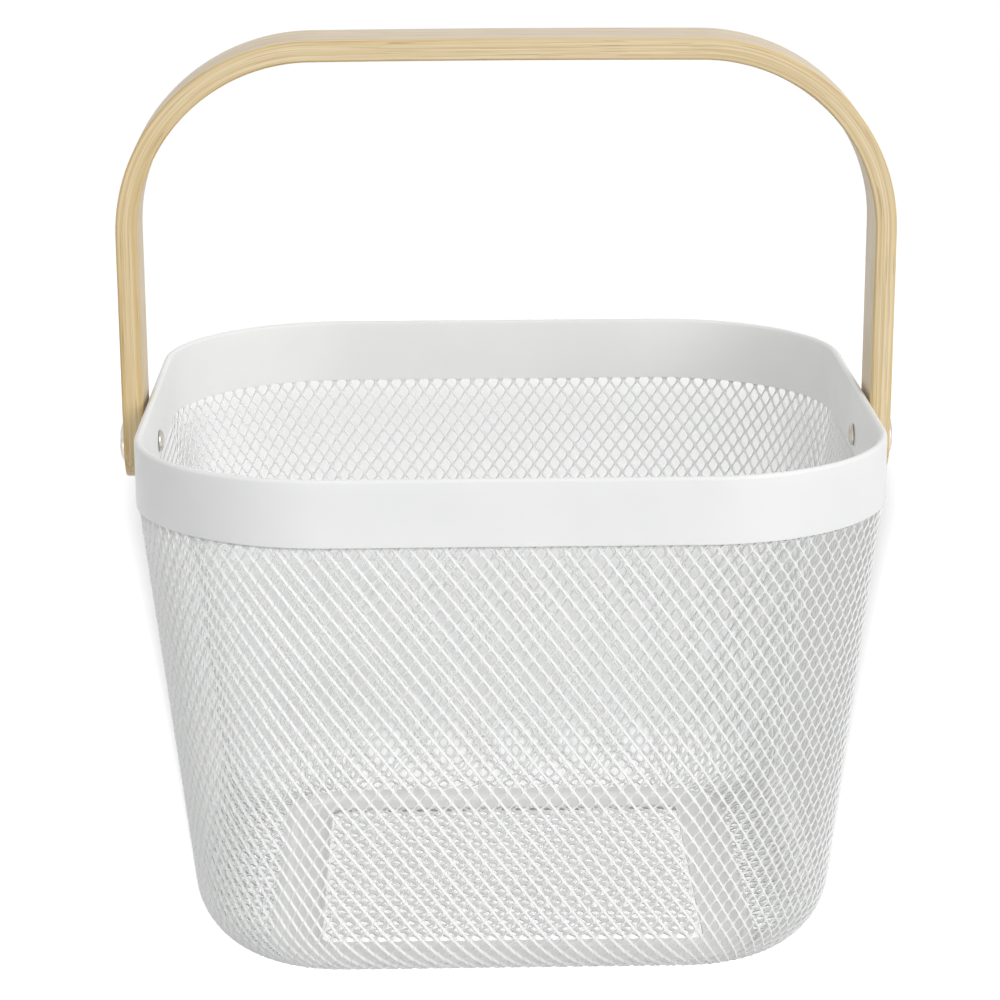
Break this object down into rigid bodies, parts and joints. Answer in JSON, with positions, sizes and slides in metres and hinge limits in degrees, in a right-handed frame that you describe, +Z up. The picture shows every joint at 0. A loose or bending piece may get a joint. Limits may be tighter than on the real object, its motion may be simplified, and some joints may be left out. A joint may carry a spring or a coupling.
{
  "type": "mesh fruit basket",
  "caption": "Square-mouthed white metal mesh fruit basket with a folded sheet-steel rim band, a foot bead in its floor and a bent bamboo handle that swings down on side rivets.",
  "frame": {"origin": "middle of the basket's footprint, on the surface that the foot bead stands on", "axes": "+Z up; X runs from the left rivet to the right rivet, along the handle's span; -Y is the front that the picture shows. At rest the handle leans 2.6 degrees towards -Y, as in the picture"},
  "size_m": [0.272, 0.25, 0.3082],
  "materials": {
    "white_powder_coat": "satin white powder coat on steel",
    "bamboo": "clear-lacquered bent bamboo, fine lengthwise fibre",
    "rivet_steel": "polished nickel-plated steel",
    "washer_plastic": "natural white plastic"
  },
  "bodies": {
    "basket": {"mesh_body": "white_powder_coat", "rim_band": "white_powder_coat", "rivet_left": "rivet_steel", "rivet_right": "rivet_steel", "washer_left": "washer_plastic", "washer_right": "washer_plastic"},
    "handle": {"handle": "bamboo"}
  },
  "joints": [
    {"name": "handle_swing", "type": "hinge", "parent": "basket", "child": "handle", "pos_m": [0, 0, 0.165], "axis": [1, 0, 0], "range_deg": [-115.6, 110.4]}
  ]
}
